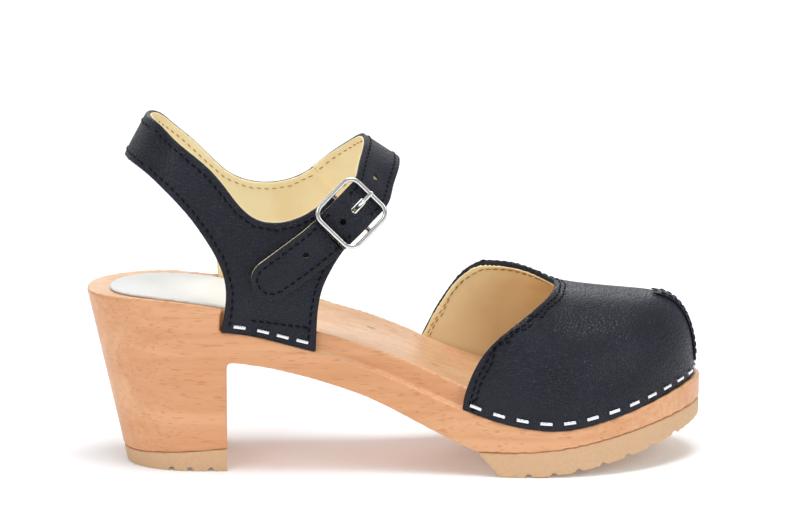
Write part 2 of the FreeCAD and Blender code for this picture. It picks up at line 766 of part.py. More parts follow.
# ---- staples and seam strip --------------------------------------------------


def staple_at(point, direction, normal):
    """A staple lying on the leather, its two legs driven into the sole's edge."""
    direction = direction.normalize()
    normal = (normal - direction * normal.dot(direction)).normalize()
    upright = normal.cross(direction).normalize()
    half = staple_crown / 2
    crown = Part.makeBox(staple_crown, staple_wire, staple_thickness,
                         V(-half, -staple_wire / 2, staple_gap))
    staple = crown
    for x in (-half, half - staple_thickness):
        staple = staple.fuse(Part.makeBox(staple_thickness, staple_wire, staple_leg + staple_gap,
                                          V(x, -staple_wire / 2, -staple_leg)))
    place = FreeCAD.Matrix(direction.x, upright.x, normal.x, point.x,
                           direction.y, upright.y, normal.y, point.y,
                           direction.z, upright.z, normal.z, point.z, 0, 0, 0, 1)
    staple.transformShape(place)
    return staple


def vamp_spot(side, share, height):
    """A point of the vamp's outer face, a height above its lower edge."""
    base = run_to_apex(vamp_edge[side], throat_x(side, 0), share)
    low = ledge_z(base.x) - vamp_trim
    power = 2 / (2.3 + 0.3 * toe_share(base.x))
    rise = (height + vamp_trim) / (crown_z(crown_x(base.x)) - low)
    turn = math.asin(rise ** (1 / power)) / (math.pi / 2)
    return arch_point(base, turn, 0)


vamp_edge = sides(25, upper_inset, toe_inset)
vamp_staples = []
for side in (LATERAL, MEDIAL):
    for i in range(vamp_staple_count):
        share = 0.045 + 0.925 * i / (vamp_staple_count - 1)
        spot = vamp_spot(side, share, staple_height)
        near, ahead = (vamp_spot(side, share + d, staple_height) for d in (-0.01, 0.01))
        higher = vamp_spot(side, share, staple_height + 1)
        run = ahead - near
        facing = run.cross(higher - spot) * -side
        vamp_staples.append(staple_at(spot + V(0, side * crown_parting / 2, 0), run, facing))
save_list["vamp_staples"] = Part.makeCompound(vamp_staples)

for node, side in (("outer_quarter_staples", LATERAL), ("inner_quarter_staples", MEDIAL)):
    quarter_edge = sides(52 + extra_height, upper_inset)[side]
    group = []
    for drawn_x in (-61, -52, -44.5, -37):
        x = drawn_x + ankle_shift.x
        z = ledge_z(x) + staple_height
        spot = V(x, side_y(sides(z, upper_inset)[side], x), z)
        run = V(2, side_y(quarter_edge, x + 1) - side_y(quarter_edge, x - 1),
                ledge_z(x + 1) - ledge_z(x - 1))
        group.append(staple_at(spot, run, V(0, side, 0)))
    save_list[node] = Part.makeCompound(group)


def toe_point(edge, y):
    """The point of the outline's front at a given y."""
    front = [p for p in edge[LATERAL] + edge[MEDIAL][::-1] if p.x > crown_straight]
    for p, q in zip(front, front[1:]):
        if p.y <= y <= q.y:
            return p + (q - p) * ((y - p.y) / (q.y - p.y))
    return front[-1]


def toe_strip_grid(depth):
    """Strip over the toe seam, laid on the toe box; rows run from the sole to the crown."""
    edge = sides(25, upper_inset + depth, toe_inset)
    rows = []
    for turn in (0.062, 0.13, 0.23, 0.34, 0.46, 0.58, 0.68, 0.78, 0.86, toe_strip_top):
        power = 2 / (2.3 + 0.3)
        reach = math.cos(turn * math.pi / 2) ** power
        row = []
        for offset in (-1, -0.6, -0.2, 0.2, 0.6, 1):
            away = offset * toe_strip_width / 2 / reach
            row.append(arch_point(toe_point(edge, crown_y + away), turn, depth))
        rows.append(row)
    return rows


save_list["toe_seam_strip"] = thick_patch(
    toe_strip_grid(-toe_strip_thickness - toe_strip_gap), toe_strip_grid(-toe_strip_gap))

os.makedirs("parts", exist_ok=True)
for node, shape in save_list.items():
    save(node, shape)
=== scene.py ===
import math

import bmesh
import bpy
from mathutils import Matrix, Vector
from mathutils.bvhtree import BVHTree


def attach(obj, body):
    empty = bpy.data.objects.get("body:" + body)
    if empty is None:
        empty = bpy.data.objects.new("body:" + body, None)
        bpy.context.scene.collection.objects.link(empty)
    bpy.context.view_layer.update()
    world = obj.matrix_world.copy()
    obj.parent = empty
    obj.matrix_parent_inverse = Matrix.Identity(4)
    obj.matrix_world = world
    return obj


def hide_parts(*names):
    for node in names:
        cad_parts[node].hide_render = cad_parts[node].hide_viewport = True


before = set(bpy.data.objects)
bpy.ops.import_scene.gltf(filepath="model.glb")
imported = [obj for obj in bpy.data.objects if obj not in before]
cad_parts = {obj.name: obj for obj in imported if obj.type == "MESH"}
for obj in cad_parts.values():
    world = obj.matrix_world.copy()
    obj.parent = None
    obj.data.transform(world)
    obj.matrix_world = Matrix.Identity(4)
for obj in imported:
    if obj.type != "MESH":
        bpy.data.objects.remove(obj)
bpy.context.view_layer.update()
scene = bpy.context.scene
mm = 0.001


# ---- camera and studio -------------------------------------------------------
# A pale floor, a large soft light overhead, two in front and one behind, and a long
# lens that looks down a little, from slightly behind the middle of the shoe.

view_azimuth, view_elevation = math.radians(-2.5), math.radians(11.5)
view_distance = 2.0
view_target = Vector((0.6, 0.0, 75.5)) * mm
frame_width_there = 794 / 2576
back = Vector((math.sin(view_azimuth) * math.cos(view_elevation),
               -math.cos(view_azimuth) * math.cos(view_elevation),
               math.sin(view_elevation)))
camera = bpy.data.objects.new("camera", bpy.data.cameras.new("camera"))
camera.data.sensor_width = 36.0
camera.data.lens = camera.data.sensor_width * view_distance / frame_width_there
camera.location = view_target + back * view_distance
camera.rotation_euler = back.to_track_quat("Z", "Y").to_euler()
camera.data.clip_end = 20
scene.collection.objects.link(camera)
scene.camera = camera


def soft_light(name, place, size, power):
    """A rectangular light that faces the shoe."""
    light = bpy.data.objects.new(name, bpy.data.lights.new(name, "AREA"))
    light.data.shape = "RECTANGLE"
    light.data.size, light.data.size_y = size
    light.data.energy = power
    light.location = place
    aim = Vector(place) - Vector((0, 0, 0.05))
    light.rotation_euler = aim.to_track_quat("Z", "Y").to_euler()
    scene.collection.objects.link(light)


soft_light("overhead", place=(0.05, -0.1, 1.3), size=(0.9, 0.6), power=12.4)
soft_light("front_left", place=(-0.9, -1.3, 0.7), size=(0.7, 0.7), power=4.0)
soft_light("front_right", place=(1.1, -0.9, 0.8), size=(0.6, 0.8), power=4.0)
soft_light("behind", place=(-0.2, 1.4, 0.7), size=(1.6, 0.6), power=6)
world = bpy.data.worlds.new("studio")
world.use_nodes = True
world.node_tree.nodes["Background"].inputs["Color"].default_value = (1, 1, 1, 1)
world.node_tree.nodes["Background"].inputs["Strength"].default_value = 0.42
scene.world = world
scene.view_settings.view_transform = "Standard"


def linear(code):
    """A six-digit screen colour as linear red, green and blue."""
    parts = [int(code[i:i + 2], 16) / 255 for i in (0, 2, 4)]
    return tuple(c / 12.92 if c < 0.04045 else ((c + 0.055) / 1.055) ** 2.4 for c in parts)


class Wire:
    """A node's output, which adds, subtracts and multiplies like a number."""

    def __init__(self, finish, socket):
        self.finish, self.socket = finish, socket

    def math(self, operation, other, flip=False):
        pair = (other, self) if flip else (self, other)
        return self.finish.node("ShaderNodeMath", {"operation": operation}, pair)

    def __add__(self, other):
        return self.math("ADD", other)

    def __sub__(self, other):
        return self.math("SUBTRACT", other)

    def __rsub__(self, other):
        return self.math("SUBTRACT", other, flip=True)

    def __mul__(self, other):
        return self.math("MULTIPLY", other)

    __radd__, __rmul__ = __add__, __mul__

    def between(self, low, high):
        """0 below low, 1 above high, smooth between."""
        return self.finish.node("ShaderNodeMapRange", {"interpolation_type": "SMOOTHSTEP"},
                                (self, low, high, 0.0, 1.0))


class Finish:
    """One material: its shader's fixed sockets, and nodes for what varies."""

    def __init__(self, name, **fixed):
        self.material = bpy.data.materials.new(name)
        self.material.use_nodes = True
        self.tree = self.material.node_tree
        self.shader = self.tree.nodes["Principled BSDF"]
        for socket, value in fixed.items():
            label = socket.replace("_", " ")
            self.shader.inputs[label].default_value = value

    def node(self, kind, settings=None, values=(), output=0):
        """A node of one kind; its settings come first, then what its sockets hold."""
        made = self.tree.nodes.new(kind)
        for key, value in (settings or {}).items():
            setattr(made, key, value)
        pairs = values.items() if isinstance(values, dict) else enumerate(values)
        for key, value in pairs:
            self.plug(made.inputs[key], value)
        return Wire(self, made.outputs[output])

    def plug(self, socket, value):
        """Link a node's output to a socket, or set the socket to a number or colour."""
        if isinstance(value, Wire):
            self.tree.links.new(value.socket, socket)
        elif isinstance(value, tuple) and socket.type == "RGBA":
            socket.default_value = (*value, 1) if len(value) == 3 else value
        else:
            socket.default_value = value

    def place(self, scale=(1, 1, 1), turn=(0, 0, 0)):
        """The piece's own coordinates, in metres, stretched and turned."""
        here = self.node("ShaderNodeTexCoord", output="Object")
        return self.node("ShaderNodeMapping", values={"Vector": here, "Rotation": turn,
                                                      "Scale": scale})

    def noise(self, where, scale, detail=3.0, rough=0.5, distort=0.0):
        return self.node("ShaderNodeTexNoise", values={
            "Vector": where, "Scale": scale, "Detail": detail, "Roughness": rough,
            "Distortion": distort})

    def cells(self, where, scale, feature):
        return self.node("ShaderNodeTexVoronoi", {"feature": feature}, {
            "Vector": where, "Scale": scale}, output="Distance")

    def mix(self, share, first, second):
        """The first colour where the share is 0 and the second where it is 1."""
        share_socket, first_socket, second_socket, colour_out = 0, 6, 7, 2
        return self.node("ShaderNodeMix", {"data_type": "RGBA"}, {
            share_socket: share, first_socket: first, second_socket: second}, colour_out)

    def set(self, **varying):
        """What changes over the surface, by the shader's own socket names."""
        for socket, value in varying.items():
            self.plug(self.shader.inputs[socket.replace("_", " ")], value)

    def relief(self, height, depth, strength=1.0):
        """Fine ups and downs of the surface, a depth in metres."""
        bump = self.node("ShaderNodeBump", values={"Height": height, "Distance": depth,
                                                   "Strength": strength})
        self.set(Normal=bump)


def finished(piece, finish, body, slot, *nodes):
    """Give a piece its material and body, and hide the CAD nodes it stands in for."""
    piece.data.materials.clear()
    piece.data.materials.append(finish.material)
    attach(piece, body)
    if nodes:
        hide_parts(*nodes)
    return piece


floor_finish = Finish("studio floor", Base_Color=(0.92, 0.955, 0.985, 1), Roughness=0.9,
                      Specular_IOR_Level=0.0, Emission_Color=(0.96, 0.98, 1, 1),
                      Emission_Strength=0.12)
floor_mesh = bpy.data.meshes.new("floor")
reach = 3.0
floor_mesh.from_pydata([(-reach, -reach, 0), (reach, -reach, 0), (reach, reach, 0),
                        (-reach, reach, 0)], [], [(0, 1, 2, 3)])
floor_mesh.materials.append(floor_finish.material)
floor = bpy.data.objects.new("floor", floor_mesh)
scene.collection.objects.link(floor)


# ---- wooden sole -------------------------------------------------------------
# One block of pale hardwood, milled to shape and sanded, with a rebate round its
# upper edge for the leather. The grain runs from heel to toe; it is oiled, not painted.


def merged_copy(node):
    """A CAD solid's mesh as one closed surface."""
    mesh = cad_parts[node].data.copy()
    shape = bmesh.new()
    shape.from_mesh(mesh)
    bmesh.ops.remove_doubles(shape, verts=shape.verts, dist=1e-6)
    shape.to_mesh(mesh)
    shape.free()
    return mesh


def baked(piece):
    """The piece with its modifiers worked into a plain mesh."""
    graph = bpy.context.evaluated_depsgraph_get()
    graph.update()
    mesh = bpy.data.meshes.new_from_object(piece.evaluated_get(graph))
    piece.modifiers.clear()
    piece.data = mesh
    mesh.name = piece.name
    return piece


def softened(name, node, voxel, passes):
    """A copy of a CAD solid with its edges eased over about two small cubes' width."""
    piece = bpy.data.objects.new(name, merged_copy(node))
    scene.collection.objects.link(piece)
    remesh = piece.modifiers.new("ease", "REMESH")
    remesh.mode = "VOXEL"
    remesh.voxel_size = voxel
    remesh.use_smooth_shade = True
    smooth = piece.modifiers.new("sand", "SMOOTH")
    smooth.factor, smooth.iterations = 0.5, passes
    return baked(piece)


wood = Finish("oiled hardwood", Roughness=0.42, Coat_Weight=0.12, Coat_Roughness=0.3)
grain_tilt = (0, 0.05, 0)
broad = wood.noise(wood.place((0.055, 1, 1)), 70, 2, 0.5, 0.6)
streak = wood.noise(wood.place((0.03, 1, 1), grain_tilt), 420, 2, 0.55, 0.2)
pores = wood.noise(wood.place((0.09, 1, 1), grain_tilt), 1500, 1, 0.4)
dash = pores.between(0.60, 0.72)
fleck = 1 - wood.cells(wood.place((0.35, 1, 1)), 62, "F1").between(0.045, 0.075)
# Faces that look up are painted a lighter, paler tone than the sides: painted light from the
# lamp overhead.
upward = wood.node("ShaderNodeSeparateXYZ", values=(
    wood.node("ShaderNodeNewGeometry", output="Normal"),), output="Z")
painted_light_on_top = upward.between(0.55, 0.85)
side_tone = wood.mix(broad.between(0.32, 0.68), linear("dc9c6c"), linear("e6ab7c"))
top_tone_painted_lighter = wood.mix(broad.between(0.32, 0.68), linear("d9ab83"), linear("e2bb95"))
tone = wood.mix(painted_light_on_top, side_tone, top_tone_painted_lighter)
tone = wood.mix(streak.between(0.35, 0.75) * 0.35, tone, linear("c98756"))
tone = wood.mix(dash * 0.38, tone, linear("a9653c"))
tone = wood.mix(fleck * 0.55, tone, linear("7d4528"))
wood.set(Base_Color=tone, Roughness=0.36 + streak * 0.16)
wood.relief(streak * 0.6 - dash, 0.00012, 0.35)

sole = softened("sole_block", "wooden_sole", voxel=0.85 * mm, passes=2)
finished(sole, wood, "root", "wood", "wooden_sole")


# ---- rubber tread and heel lift ----------------------------------------------
# Tan rubber, moulded and glued on: a grooved tread under the forefoot, and a lift
# under the heel that five nails with sunk heads hold.

rubber = Finish("tan rubber", Roughness=0.62)
rubber_speck = rubber.noise(rubber.place(), 900, 3, 0.6)
rubber_cloud = rubber.noise(rubber.place(), 60, 2)
rubber.set(Base_Color=rubber.mix(rubber_speck.between(0.3, 0.7) * 0.5 + rubber_cloud * 0.3,
                                 linear("dab38c"), linear("cda67e")),
           Roughness=0.55 + rubber_speck * 0.2)
rubber.relief(rubber_speck, 0.0001, 0.4)
tread = softened("tread", "forefoot_tread", voxel=0.75 * mm, passes=2)
finished(tread, rubber, "root", "rubber", "forefoot_tread")
heel_lift = softened("heel_lift", "heel_top_lift", voxel=0.6 * mm, passes=2)
finished(heel_lift, rubber, "root", "rubber", "heel_top_lift")

nail_steel = Finish("nail steel", Metallic=1.0, Roughness=0.45,
                    Base_Color=(0.55, 0.54, 0.52, 1))
nail_steel.relief(nail_steel.noise(nail_steel.place(), 3000), 0.00005)
heel_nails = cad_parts["heel_nails"]
heel_nails.data.materials.clear()
heel_nails.data.materials.append(nail_steel.material)


# ---- heel sock ---------------------------------------------------------------
# A thin off-white sock of coated fabric, cut round at the back and glued to the
# dished seat, so that the heel doesn't touch wood.

sock = Finish("off-white sock", Roughness=0.55)
sock_grain = sock.noise(sock.place(), 1400, 3, 0.6)
sock_cloud = sock.noise(sock.place(), 45, 2)
sock.set(Base_Color=sock.mix(sock_cloud.between(0.35, 0.7) * 0.6 + sock_grain * 0.2,
                             linear("e2e4e6"), linear("d5d7d7")))
sock.relief(sock_grain, 0.00008, 0.5)
heel_sock = softened("heel_sock", "heel_pad", voxel=0.6 * mm, passes=2)
finished(heel_sock, sock, "root", "pad_fabric", "heel_pad")


# ---- toe box -----------------------------------------------------------------
# Full-grain leather with a fine pebble, two millimetres thick, dyed near black with a
# trace of blue, on a thinner tan lining. It is pulled over a last and stapled down; a
# narrow strip covers the seam at the toe.

leather = Finish("pebbled leather", Roughness=0.45, Specular_IOR_Level=0.3)
hide = leather.place()
wander = leather.node("ShaderNodeTexNoise", values={"Vector": hide, "Scale": 500.0,
                                                    "Detail": 1.0}, output="Color")
wander_by = (1.1 * mm,) * 3
moved = leather.node("ShaderNodeVectorMath", {"operation": "MULTIPLY_ADD"},
                     (wander, wander_by, hide))
pebbles_per_metre = 820
pebble = leather.cells(moved, pebbles_per_metre, "SMOOTH_F1")
crease = leather.cells(moved, pebbles_per_metre, "DISTANCE_TO_EDGE").between(0.0, 0.16)
fine = leather.noise(hide, 2600, 2, 0.5)
broad_dye = leather.noise(hide, 38, 2)
leather.set(Base_Color=leather.mix(broad_dye.between(0.3, 0.7), linear("181a25"),
                                   linear("1e202c")),
            Roughness=0.31 + (1 - crease) * 0.2 + fine * 0.06)
leather.relief(crease * 0.75 - pebble * 0.35 + fine * 0.12, 0.0003, 0.9)


def lining_leather(name, light, dark, roughness):
    """Thin lining leather whose colour drifts a little between two tones."""
    lining = Finish(name, Roughness=roughness)
    grain = lining.noise(lining.place(), 1500, 3, 0.6)
    cloud = lining.noise(lining.place(), 55, 3)
    lining.set(Base_Color=lining.mix(cloud.between(0.3, 0.7), linear(light), linear(dark)))
    lining.relief(grain, 0.00007, 0.5)
    return lining


tan_lining = lining_leather("tan lining leather", "f9e6b6", "efd6a0", roughness=0.62)

vamp = softened("toe_box", "vamp_leather", voxel=0.62 * mm, passes=4)
finished(vamp, leather, "root", "leather", "vamp_leather")
vamp_inside = softened("toe_box_lining", "vamp_lining", voxel=0.55 * mm, passes=3)
finished(vamp_inside, tan_lining, "root", "vamp_lining", "vamp_lining")
toe_strip = softened("toe_seam_strip_sewn", "toe_seam_strip", voxel=0.22 * mm, passes=3)
finished(toe_strip, leather, "root", "leather", "toe_seam_strip")


# ---- toe box seams -----------------------------------------------------------
# Two rows of black thread hold the lining round the throat, and show in tan on the
# lining. Two more rows hold the strip down the front of the toe.


def tree_of(piece):
    """A search tree over a piece's faces, for finding the nearest spot on its skin."""
    corners = [v.co.copy() for v in piece.data.vertices]
    faces = [list(p.vertices) for p in piece.data.polygons]
    return BVHTree.FromPolygons(corners, faces)


def spaced(points, pitch):
    """Points at an even pitch along a line of points."""
    lengths = [0.0]
    for p, q in zip(points, points[1:]):
        lengths.append(lengths[-1] + (q - p).length)
    count = max(2, round(lengths[-1] / pitch))
    out, i = [], 0
    for k in range(count):
        goal = lengths[-1] * (k + 0.5) / count
        while lengths[i + 1] < goal:
            i += 1
        share = (goal - lengths[i]) / max(lengths[i + 1] - lengths[i], 1e-9)
        out.append(points[i].lerp(points[i + 1], share))
    return out


def beside(line, distance, tree):
    """A line of points moved sideways on a surface, to the left seen from outside."""
    moved = []
    for before, here, after in zip(line[:1] + line, line, line[1:] + line[-1:]):
        spot, normal = tree.find_nearest(here)[:2]
        aside = normal.cross(after - before).normalized()
        moved.append(tree.find_nearest(here + aside * distance)[0])
    return moved


def stitch_maker():
    """Geometry nodes that lay one small rounded stitch on each point of a row."""
    group = bpy.data.node_groups.new("stitches", "GeometryNodeTree")
    sockets = {}
    for name, kind in (("Rows", "Geometry"), ("Length", "Float"), ("Width", "Float"),
                       ("Height", "Float"), ("Thread", "Material")):
        made = group.interface.new_socket(name, in_out="INPUT",
                                          socket_type="NodeSocket" + kind)
        sockets[name] = made.identifier
    group.interface.new_socket("Stitches", in_out="OUTPUT", socket_type="NodeSocketGeometry")
    add, link = group.nodes.new, group.links.new
    given, result = add("NodeGroupInput"), add("NodeGroupOutput")
    directions = []
    for name in ("along", "up"):
        named = add("GeometryNodeInputNamedAttribute")
        named.data_type = "FLOAT_VECTOR"
        named.inputs["Name"].default_value = name
        directions.append(named.outputs["Attribute"])
    lay = add("FunctionNodeAlignRotationToVector")
    lay.axis = "X"
    link(directions[0], lay.inputs["Vector"])
    stand = add("FunctionNodeAlignRotationToVector")
    stand.axis, stand.pivot_axis = "Z", "X"
    link(lay.outputs["Rotation"], stand.inputs["Rotation"])
    link(directions[1], stand.inputs["Vector"])
    ball = add("GeometryNodeMeshUVSphere")
    ball.inputs["Segments"].default_value = 8
    ball.inputs["Rings"].default_value = 7
    ball.inputs["Radius"].default_value = 0.5
    size = add("ShaderNodeCombineXYZ")
    for axis, name in zip("XYZ", ("Length", "Width", "Height")):
        link(given.outputs[name], size.inputs[axis])
    copies = add("GeometryNodeInstanceOnPoints")
    link(given.outputs["Rows"], copies.inputs["Points"])
    link(ball.outputs["Mesh"], copies.inputs["Instance"])
    link(stand.outputs["Rotation"], copies.inputs["Rotation"])
    link(size.outputs["Vector"], copies.inputs["Scale"])
    real = add("GeometryNodeRealizeInstances")
    link(copies.outputs["Instances"], real.inputs["Geometry"])
    round_look = add("GeometryNodeSetShadeSmooth")
    link(real.outputs["Geometry"], round_look.inputs["Geometry"])
    dye = add("GeometryNodeSetMaterial")
    link(round_look.outputs["Geometry"], dye.inputs["Geometry"])
    link(given.outputs["Thread"], dye.inputs["Material"])
    link(dye.outputs["Geometry"], result.inputs["Stitches"])
    return group, sockets


stitch_group, stitch_sockets = stitch_maker()
black_thread = Finish("black thread", Base_Color=(0.0015, 0.0015, 0.002, 1), Roughness=0.5,
                      Specular_IOR_Level=0.12)
black_thread.relief(black_thread.noise(black_thread.place(), 3500), 0.0001)
tan_thread = Finish("tan thread", Base_Color=(*linear("a9803f"), 1), Roughness=0.6)
tan_thread.relief(tan_thread.noise(tan_thread.place(), 3500), 0.0001)


def sewn(name, rows, tree, thread, body, slot, pitch=3.0, length=2.35, width=0.78):
    """Stitches at an even pitch along rows that lie on a surface."""
    centres, along, up = [], [], []
    for row in rows:
        if len(row) < 2:
            continue
        spots = spaced(row, pitch * mm)
        for before, here, after in zip(spots[:1] + spots, spots, spots[1:] + spots[-1:]):
            spot, normal = tree.find_nearest(here)[:2]
            run = (after - before).normalized()
            slant = run + run.cross(normal) * 0.12
            centres.append(spot + normal * 0.05 * mm)
            along.append(slant.normalized())
            up.append(normal)
    mesh = bpy.data.meshes.new(name)
    mesh.from_pydata(centres, [], [])
    for label, vectors in (("along", along), ("up", up)):
        layer = mesh.attributes.new(label, "FLOAT_VECTOR", "POINT")
        for item, vector in zip(layer.data, vectors):
            item.vector = vector
    piece = bpy.data.objects.new(name, mesh)
    scene.collection.objects.link(piece)
    sew = piece.modifiers.new("sew", "NODES")
    sew.node_group = stitch_group
    for label, value in (("Length", length * mm), ("Width", width * mm),
                         ("Height", 0.7 * mm), ("Thread", thread.material)):
        sew[stitch_sockets[label]] = value
    baked(piece)
    return finished(piece, thread, body, slot)


vamp_tree, vamp_inside_tree = tree_of(vamp), tree_of(vamp_inside)
throat_axis = Vector((0, 5, 34)) * mm
throat_from, throat_to = 2, 68


def arch_cast(tree, x, degrees, inside=False):
    """The skin of the toe box at x, seen from outside or from its long axis."""
    angle = math.radians(degrees)
    spoke = Vector((0, math.cos(angle), math.sin(angle)))
    centre = Vector((x, throat_axis.y, throat_axis.z))
    if inside:
        return tree.ray_cast(centre, spoke)[0]
    return tree.ray_cast(centre + spoke * 0.1, -spoke, 0.1)[0]


throat = []
for degrees in range(-12, 194, 3):
    open_x, closed_x = throat_from * mm, throat_to * mm
    for halving in range(14):
        middle_x = (open_x + closed_x) / 2
        if arch_cast(vamp_tree, middle_x, degrees):
            closed_x = middle_x
        else:
            open_x = middle_x
    spot = arch_cast(vamp_tree, closed_x + 0.3 * mm, degrees)
    if spot and spot.z > 24 * mm:
        throat.append(spot)
first_room, second_room = 2.4, 4.4
throat_rows = [beside(throat, room * mm, vamp_tree) for room in (first_room, second_room)]
sewn("throat_seam", throat_rows, vamp_tree, black_thread, "root", "leather")
inner_rows = []
for row in throat_rows:
    spots = []
    for p in row:
        degrees = math.degrees(math.atan2(p.z - throat_axis.z, p.y - throat_axis.y))
        spots.append(arch_cast(vamp_inside_tree, p.x, degrees, inside=True))
    inner_rows.append([p for p in spots if p and p.z > 30 * mm])
sewn("throat_seam_inside", inner_rows, vamp_inside_tree, tan_thread, "root", "vamp_lining",
     length=2.0, width=0.45)

strip_tree = tree_of(toe_strip)
strip_centre = Vector((84, 0, 36)) * mm


def toe_cast(y, degrees):
    """The strip's skin at y, seen from the front at an angle above level."""
    spoke = Vector((math.cos(math.radians(degrees)), 0, math.sin(math.radians(degrees))))
    centre = Vector((strip_centre.x, y, strip_centre.z))
    return strip_tree.ray_cast(centre + spoke * 0.08, -spoke, 0.06)[0]


toe_seam_y, strip_row_half = 5, 3.2
strip_rows = []
for y in (toe_seam_y - strip_row_half, toe_seam_y + strip_row_half):
    spots = [toe_cast(y * mm, degrees) for degrees in range(-2, 70, 2)]
    strip_rows.append([p for p in spots if p][1:-1])
sewn("toe_strip_seam", strip_rows, strip_tree, black_thread, "root", "leather", pitch=2.8)


# ---- ankle wrap --------------------------------------------------------------
# One piece of leather with a glued lining goes round the heel; its foot is stapled to
# the sole on both sides. One row of thread runs just inside every edge.

pale_lining = lining_leather("pale lining leather", "fbedbf", "f6e2ae", roughness=0.6)
ankle = softened("ankle_wrap", "ankle_leather", voxel=0.5 * mm, passes=3)
finished(ankle, leather, "root", "leather", "ankle_leather")
ankle_inside = softened("ankle_wrap_lining", "ankle_lining", voxel=0.4 * mm, passes=2)
finished(ankle_inside, pale_lining, "root", "ankle_lining", "ankle_lining")

ankle_tree, ankle_inside_tree = tree_of(ankle), tree_of(ankle_inside)
back_of_loop = Vector((-86, 0, 0)) * mm
above_band, middle_of_band, below_band = 140, 127, 108


def flank(line, distance, side, tree, inside=False):
    """A side-view line in millimetres, drawn in from the edge and laid on a flank."""
    points = [Vector((x, 0, z)) * mm for x, z in line]
    drawn = []
    for before, here, after in zip(points[:1] + points, points, points[1:] + points[-1:]):
        run = (after - before).normalized()
        aside = Vector((-run.z, 0, run.x)) * distance * mm
        start = here + aside + Vector((0, 0 if inside else side * 0.07, 0))
        hit = tree.ray_cast(start, Vector((0, side if inside else -side, 0)), 0.07)[0]
        if hit:
            drawn.append(hit)
    return drawn


def heel_skin(level, degrees):
    """The skin of the loop's back at a height, seen from an angle all round it."""
    spoke = Vector((math.cos(math.radians(degrees)), math.sin(math.radians(degrees)), 0))
    start = back_of_loop + Vector((0, 0, level)) * mm + spoke * 0.06
    return ankle_tree.ray_cast(start, -spoke, 0.06)[0]


def heel_edge(off_band, room, last_x):
    """A row round the back of the loop, a little inside its upper or lower edge."""
    row = []
    for degrees in range(100, 261, 4):
        on, off = middle_of_band, off_band
        for halving in range(12):
            level = (on + off) / 2
            if heel_skin(level, degrees):
                on = level
            else:
                off = level
        spot = heel_skin(on + room, degrees)
        if spot and spot.x < last_x * mm:
            row.append(spot)
    return row


outer_top = [(-91, 134.2), (-86, 129.9), (-79, 124.2), (-72, 118.2), (-66, 111.2), (-60, 103.6),
             (-54, 99.2), (-47, 98.0), (-40, 99.2), (-32, 103.2), (-26, 107.8)]
inner_top = [(-91, 133.6), (-86, 128.6), (-79, 122.2), (-72, 115.2), (-64, 107.8), (-56, 104.4),
             (-48, 103.7), (-41, 104.8), (-32, 109.2)]
outer_rear = [(-97, 116.6), (-89, 110), (-81, 101.6), (-74, 92), (-69, 83), (-66.2, 72),
              (-66.6, 65), (-67.6, 58)]
inner_rear = [(-97, 116.6), (-89.3, 109.8), (-82, 101.4), (-75.8, 92), (-71.4, 82), (-69, 71)]
outer_front = [(-14.4, 95), (-21, 87.4), (-26, 79.6), (-29.4, 72), (-31.2, 62), (-32, 52)]
inner_front = [(-23, 95), (-27.5, 90), (-31.5, 80), (-33.2, 68), (-34, 58)]
edge_room = 2.7
heel_top = heel_edge(above_band, -edge_room, last_x=-94.2)
heel_low = heel_edge(below_band, edge_room, last_x=-96.6)
heel_inside = []
for p in heel_top:
    middle = back_of_loop + Vector((0, 0, p.z))
    heel_inside.append(ankle_inside_tree.ray_cast(middle, p - middle, 0.06)[0])
outer, inner = -1, 1
above_staples = [(-57, 60.2), (-34.5, 57.4)]
ankle_rows = [
    heel_top, heel_low,
    flank(outer_top, -edge_room, outer, ankle_tree),
    flank(inner_top, -edge_room, inner, ankle_tree),
    flank(outer_rear, edge_room, outer, ankle_tree),
    flank(inner_rear, edge_room, inner, ankle_tree),
    flank(outer_front, -edge_room, outer, ankle_tree),
    flank(inner_front, -edge_room, inner, ankle_tree),
    flank(above_staples, 0, outer, ankle_tree),
]
sewn("ankle_seam", ankle_rows, ankle_tree, black_thread, "root", "leather")
lining_rows = [flank(outer_top, -edge_room, outer, ankle_inside_tree, inside=True),
               flank(inner_top, -edge_room, inner, ankle_inside_tree, inside=True),
               [p for p in heel_inside if p]]
sewn("ankle_seam_inside", lining_rows, ankle_inside_tree, tan_thread, "root",
     "ankle_lining", length=2.0, width=0.42)


# ---- instep strap and tail ---------------------------------------------------
# The strap runs over the instep, under the buckle's front bar, over its centre bar
# and under its rear bar; the tail past the buckle hangs loose over the quarter.

buckle_centre = Vector((-18.2, -34.1, 102.5))
along = Vector((-0.70, -0.13, -0.70)).normalized()
outward = along.cross(Vector((0.70, -0.11, -0.70))).normalized()
across = outward.cross(along).normalized()


def at_buckle(u, w, n):
    """A point u down the strap, w across it and n out of the foot from the buckle."""
    return (buckle_centre + along * u + across * w + outward * n) * mm


strap_start = Vector((-25.8, 26.2, 103.9))
reach_back, reach_over = 1.7 * mm, 5 * mm


def reaching_back(piece):
    """Stretch the strap's first few millimetres so that it meets the inner quarter."""
    ahead = Vector((0.78, -0.05, 0.62)).normalized()
    for v in piece.data.vertices:
        depth = (v.co - strap_start * mm).dot(ahead)
        if v.co.y > 0 and depth < reach_over:
            v.co -= ahead * reach_back * (1 - max(0, depth) / reach_over)
    return piece


strap = reaching_back(softened("strap", "instep_strap", voxel=0.34 * mm, passes=3))
finished(strap, leather, "root", "leather", "instep_strap")
strap_inside = reaching_back(
    softened("strap_lining", "instep_strap_lining", voxel=0.3 * mm, passes=2))
finished(strap_inside, pale_lining, "root", "ankle_lining", "instep_strap_lining")
tail = softened("tail", "strap_tail", voxel=0.34 * mm, passes=3)
finished(tail, leather, "strap_tail_body", "leather", "strap_tail")
tail_inside = softened("tail_lining", "strap_tail_lining", voxel=0.3 * mm, passes=2)
finished(tail_inside, pale_lining, "strap_tail_body", "ankle_lining", "strap_tail_lining")
loop = softened("buckle_loop_leather", "buckle_loop", voxel=0.25 * mm, passes=3)
finished(loop, leather, "root", "leather", "buckle_loop")

